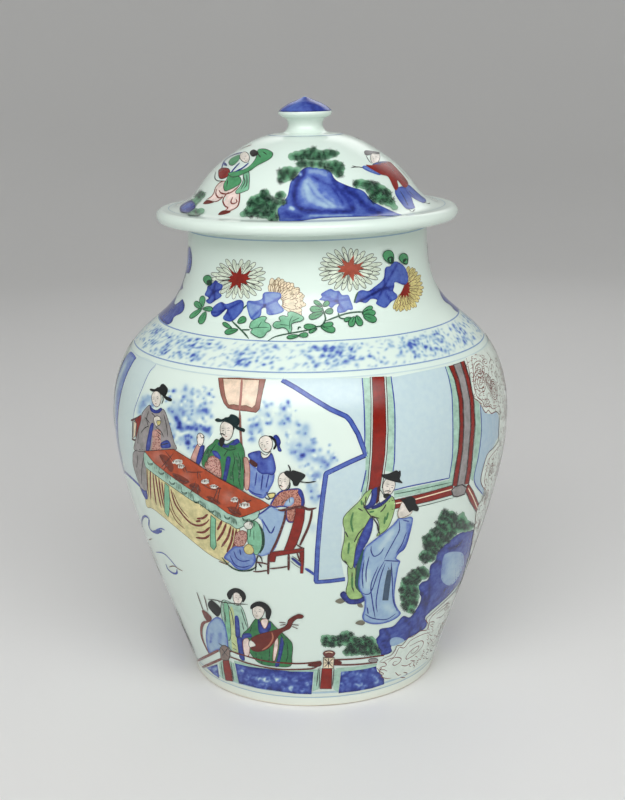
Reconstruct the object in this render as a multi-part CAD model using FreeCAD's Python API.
import FreeCAD
import Part

import os

# Covered baluster jar in glazed porcelain, a potiche, in millimetres. It stands on z = 0 and its axis is Z.
# It is made as the potter makes it. The jar is three sections thrown on the wheel, turned, and luted with
# slip at two level seams: the lower body with its foot, the upper body with its shoulder, and the neck.
# The cover is a thrown dome with a rolled lip, a ring luted under its brim that locates it in the mouth,
# and a bud-shaped knob luted on top.

# Jar, outside: a low turned foot, the body above it, and the neck
foot_radius = 86.8
foot_top_radius = 87.9
foot_height = 7.0
belly_radius = 136.6
belly_height = 188.0
neck_radius = 81.3
jar_height = 319.5

# Jar, inside and below
wall_thickness = 6.0
base_thickness = 9.0
floor_corner_radius = 12.0
foot_ring_width = 10.0
base_recess_depth = 4.0
foot_edge_radius = 1.2

# Level seams where the thrown sections are luted, and the ridge of slip left inside the lower one
body_seam_height = 138.0
neck_seam_height = 262.0
slip_ridge_radius = 3.0

# Fit of the cover in the mouth
seat_gap = 0.3
locating_clearance = 1.5
locating_ring_thickness = 4.5
locating_ring_depth = 14.0

# Cover
cover_radius = 102.0
cover_height = 56.2
cover_wall = 5.5
lip_radius = 4.4
lip_drop = 0.8

# Knob
knob_seat_radius = 17.0
knob_radius = 18.0
knob_height = 24.0

# Rounding of the mouth's rim as a share of the wall, and of the locating ring's edge as a share of the ring
mouth_edge_share = 0.4
locating_ring_edge_share = 0.35

# What cuts and slices run past the form they cut
overrun = 5.0

# The outer wall from the top of the foot up to the belly. Each pair is a share of the way out from the
# foot's radius there to the belly's, and a share of the height from the foot's top to the belly.
lower_outline_shares = (
    (0.0, 0.0),
    (0.386, 0.304),
    (0.793, 0.652),
    (1.0, 1.0),
)

# The outer wall from above the belly up to the mouth. Each pair is a share of the way out from the neck's
# radius to the belly's, and a share of the height from the belly to the mouth.
upper_outline_shares = (
    (0.855, 0.29),
    (0.582, 0.44),
    (0.249, 0.563),
    (0.064, 0.70),
    (0.0, 0.875),
    (0.0, 1.0),
)

# The dome from the knob's seat down to the top of the rolled lip. Each pair is a share of the way out from
# the seat's radius to the lip's centre, and a share of the height from the lip's top to the seat.
dome_outline_shares = (
    (0.0, 1.0),
    (0.211, 0.915),
    (0.409, 0.726),
    (0.583, 0.496),
    (0.682, 0.297),
    (0.769, 0.127),
    (0.856, 0.037),
    (1.0, 0.0),
)

# How many of the dome's points the inside of the dome follows before it drops to the brim
dome_inside_points = 5

# The knob from its tip down to its seat: a low cone, the bud's round edge, and a waisted stem. Each pair is
# a share of the knob's radius and a share of its height.
knob_outline_shares = (
    (0.0, 1.0),
    (0.555, 0.82),
    (0.905, 0.655),
    (1.0, 0.555),
    (0.92, 0.458),
    (0.745, 0.393),
    (0.644, 0.23),
    (0.685, 0.121),
    (0.944, 0.0),
)

cover_underside = jar_height + seat_gap
knob_seat_height = cover_underside + cover_height
mouth_radius = neck_radius - wall_thickness
locating_ring_radius = mouth_radius - locating_clearance
locating_ring_bore = locating_ring_radius - locating_ring_thickness
lip_centre_radius = cover_radius - lip_radius
lip_centre_height = cover_underside - lip_drop + lip_radius
lip_top_height = lip_centre_height + lip_radius
floor_height = base_recess_depth + base_thickness

UP = FreeCAD.Vector(0, 0, 1)
AXIS = FreeCAD.Vector(0, 0, 0)


def at(radius, height):
    """A point of a section, by its distance from the axis and its height."""
    return FreeCAD.Vector(radius, 0, height)


def between(low, high, share):
    """The value a given share of the way from low to high."""
    return low + (high - low) * share


def smooth(points, start=None, end=None):
    """One smooth curve through the points, with its end directions where they are given."""
    curve = Part.BSplineCurve()
    if start is None and end is None:
        curve.interpolate(points)
        return curve
    free = FreeCAD.Vector(0, 0, 0)
    tangents = [free] * len(points)
    flags = [False] * len(points)
    if start is not None:
        tangents[0] = start
        flags[0] = True
    if end is not None:
        tangents[-1] = end
        flags[-1] = True
    curve.interpolate(Points=points, Tangents=tangents, TangentFlags=flags)
    return curve


def inset(curve, points, thickness):
    """The points moved square to the curve by a wall's thickness, to the left of its direction."""
    moved = []
    for point in points:
        direction = curve.tangent(curve.parameter(point))[0]
        square = FreeCAD.Vector(-direction.z, 0, direction.x)
        moved.append(point + square * thickness)
    return moved


def revolved(edges):
    """The solid of revolution of a closed section, given edge by edge."""
    face = Part.Face(Part.Wire(Part.__sortEdges__(edges)))
    full_turn = 360
    return face.revolve(AXIS, UP, full_turn)


def lines(points):
    """Straight edges from point to point."""
    return [Part.makeLine(start, end) for start, end in zip(points, points[1:])]


def disc(radius, low, high):
    """A round slab on the axis between two heights."""
    return Part.makeCylinder(radius, high - low, at(0, low))


def level_edges(shape, height):
    """The edges of a shape that lie flat at this height."""
    tolerance = wall_thickness / 1000
    found = []
    for edge in shape.Edges:
        above = abs(edge.BoundBox.ZMax - height)
        below = abs(edge.BoundBox.ZMin - height)
        if max(above, below) < tolerance:
            found.append(edge)
    return found


def jar_outline():
    """The points of the jar's outer wall, from the top of the foot to the mouth."""
    points = []
    for out, up in lower_outline_shares:
        radius = between(foot_top_radius, belly_radius, out)
        points.append(at(radius, between(foot_height, belly_height, up)))
    for out, up in upper_outline_shares:
        radius = between(neck_radius, belly_radius, out)
        points.append(at(radius, between(belly_height, jar_height, up)))
    return points


def jar_form():
    """The jar's outer form, solid, with a turned foot: its edge eased and the base recessed inside it."""
    points = jar_outline()
    wall = smooth(points, end=UP)
    closing = lines([points[-1], at(0, jar_height), at(0, 0), at(foot_radius, 0), points[0]])
    form = revolved([wall.toShape()] + closing)
    form = form.makeFillet(foot_edge_radius, level_edges(form, 0))
    recess_radius = foot_radius - foot_ring_width
    return form.cut(disc(recess_radius, -overrun, base_recess_depth))


def jar_cavity():
    """The jar's inside: the outer wall brought in by its thickness, a flat floor and a rounded corner."""
    outer = jar_outline()
    inner = inset(smooth(outer, end=UP), outer, wall_thickness)
    wall = smooth(inner, end=UP)
    top = jar_height + overrun
    bottom = -overrun
    start = inner[0]
    closing = lines([inner[-1], at(mouth_radius, top), at(0, top), at(0, bottom), at(start.x, bottom), start])
    cavity = revolved([wall.toShape()] + closing)
    cavity = cavity.cut(disc(belly_radius, bottom - overrun, floor_height))
    return cavity.makeFillet(floor_corner_radius, level_edges(cavity, floor_height)), wall


def radius_at(curve, height):
    """The curve's distance from the axis where it passes a height."""
    level = Part.LineSegment(at(0, height), at(belly_radius, height))
    return curve.intersect(level)[0].X


def jar_sections():
    """The jar's wall, sliced at the two seams into its three thrown sections."""
    cavity, inner_wall = jar_cavity()
    jar = jar_form().cut(cavity)
    ridge_radius = radius_at(inner_wall, body_seam_height)
    ridge = Part.makeTorus(ridge_radius, slip_ridge_radius, at(0, body_seam_height))
    jar = jar.fuse(ridge)
    reach = belly_radius + overrun
    lower = jar.common(disc(reach, -overrun, body_seam_height))
    upper = jar.common(disc(reach, body_seam_height, neck_seam_height))
    neck = jar.common(disc(reach, neck_seam_height, jar_height + overrun))
    rim_radius = wall_thickness * mouth_edge_share
    return lower, upper, neck.makeFillet(rim_radius, level_edges(neck, jar_height))


def dome_outline():
    """The points of the dome's outside, from the knob's seat to the top of the rolled lip."""
    points = []
    for out, up in dome_outline_shares:
        radius = between(knob_seat_radius, lip_centre_radius, out)
        points.append(at(radius, between(lip_top_height, knob_seat_height, up)))
    return points


def cover_dome():
    """The cover's shell: the dome, a flat seat for the knob, the flat brim and its rolled lip."""
    outside = dome_outline()
    outward = FreeCAD.Vector(1, 0, 0)
    top = smooth(outside, end=outward)
    drop = lip_radius - lip_drop
    inner_end = (lip_radius ** 2 - drop ** 2) ** 0.5
    lip_inside = at(lip_centre_radius - inner_end, cover_underside)
    lip = Part.Arc(outside[-1], at(cover_radius, lip_centre_height), lip_inside)
    followed = inset(top, outside[1:dome_inside_points], -cover_wall)
    crown = at(0, knob_seat_height - cover_wall)
    brim_inside = at(locating_ring_bore, lip_top_height)
    hollow = smooth([crown] + followed + [brim_inside], start=outward, end=UP.negative())
    corner = at(locating_ring_bore, cover_underside)
    edges = [top.toShape(), lip.toShape(), hollow.toShape()]
    edges += lines([lip_inside, corner, brim_inside])
    edges += lines([crown, at(0, knob_seat_height), outside[0]])
    return revolved(edges)


def locating_ring():
    """The ring under the brim that drops into the mouth, its lower edges eased."""
    low = cover_underside - locating_ring_depth
    ring = disc(locating_ring_radius, low, cover_underside)
    ring = ring.cut(disc(locating_ring_bore, low - overrun, cover_underside + overrun))
    return ring.makeFillet(locating_ring_thickness * locating_ring_edge_share, level_edges(ring, low))


def knob():
    """The knob: a low cone over a bud's round edge, and a waisted stem that spreads to its seat."""
    points = [at(knob_radius * out, knob_seat_height + knob_height * up) for out, up in knob_outline_shares]
    outline = smooth(points).toShape()
    return revolved([outline] + lines([points[-1], at(0, knob_seat_height), points[0]]))


def write(name, shape):
    """Check one piece and write it as a file of its own."""
    shape = shape.removeSplitter()
    if not shape.isValid() or len(shape.Solids) != 1:
        raise ValueError(name + " is not one sound solid")
    solid = shape.Solids[0]
    solid.exportStep("parts/" + name + ".step")
    box = solid.BoundBox
    print(name, "volume", round(solid.Volume), "height", round(box.ZMin, 1), "to", round(box.ZMax, 1))


os.makedirs("parts", exist_ok=True)
lower_body, upper_body, neck = jar_sections()
write("lower_body", lower_body)
write("upper_body", upper_body)
write("neck", neck)
write("cover_dome", cover_dome())
write("cover_locating_ring", locating_ring())
write("knob", knob())
